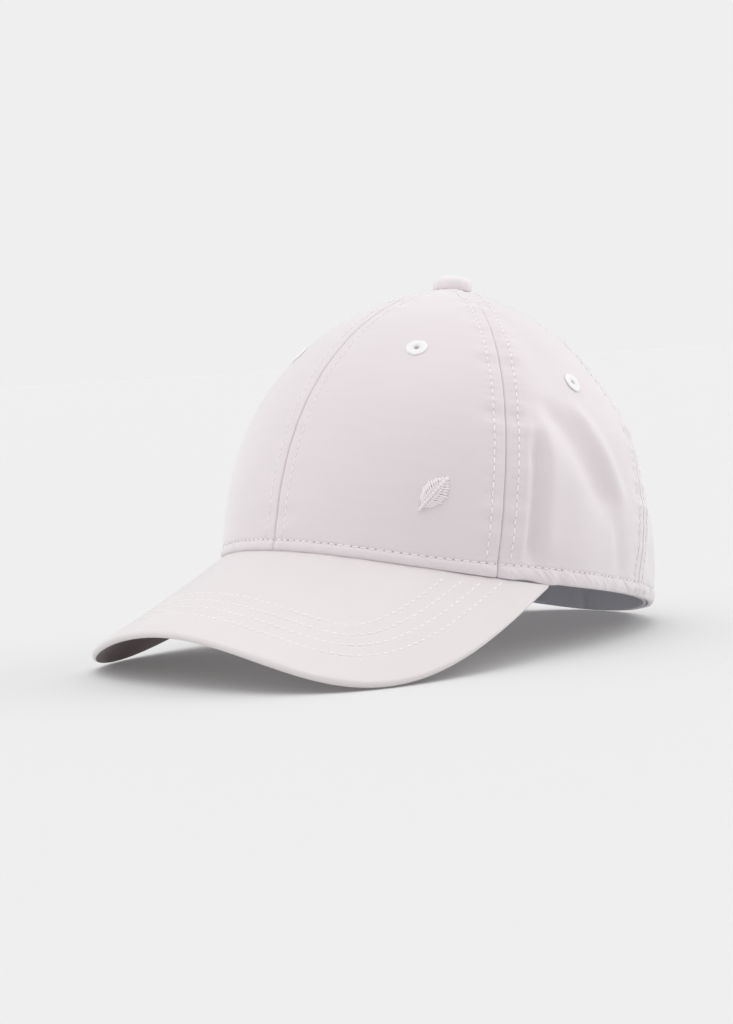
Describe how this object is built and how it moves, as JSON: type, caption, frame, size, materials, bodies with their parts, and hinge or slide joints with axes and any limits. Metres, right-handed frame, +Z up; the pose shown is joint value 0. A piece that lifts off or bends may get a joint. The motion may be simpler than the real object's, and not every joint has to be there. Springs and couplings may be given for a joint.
{
  "type": "ponytail baseball cap",
  "caption": "Soft panelled cap with a curved brim, covered button, stitched eyelets, dark sweatband and a ponytail slit in the centre back seam",
  "frame": {"origin": "middle of the bounding box in plan, at the level of the surface that the cap rests on", "axes": "+Z up, the brim points along -Y, the wearer's left is +X"},
  "size_m": [0.1812, 0.257, 0.1552],
  "materials": {
    "crown_fabric": "smooth satin-faced synthetic weave, pale lilac pink",
    "brim_fabric": "smooth satin-faced synthetic weave over a stiff board",
    "sweatband_fabric": "matt dark grey knitted sweatband",
    "eyelet_thread": "white embroidery thread, satin stitch"
  },
  "bodies": {
    "root": {"panel_front_left": "crown_fabric", "eyelet_front_left": "eyelet_thread", "panel_side_left": "crown_fabric", "eyelet_side_left": "eyelet_thread", "panel_back_left": "crown_fabric", "eyelet_back_left": "eyelet_thread", "slit_binding_left": "crown_fabric", "panel_front_right": "crown_fabric", "eyelet_front_right": "eyelet_thread", "panel_side_right": "crown_fabric", "eyelet_side_right": "eyelet_thread", "panel_back_right": "crown_fabric", "eyelet_back_right": "eyelet_thread", "slit_binding_right": "crown_fabric", "sweatband": "sweatband_fabric", "brim": "brim_fabric", "button": "crown_fabric", "front_leaf": "crown_fabric"}
  },
  "joints": []
}
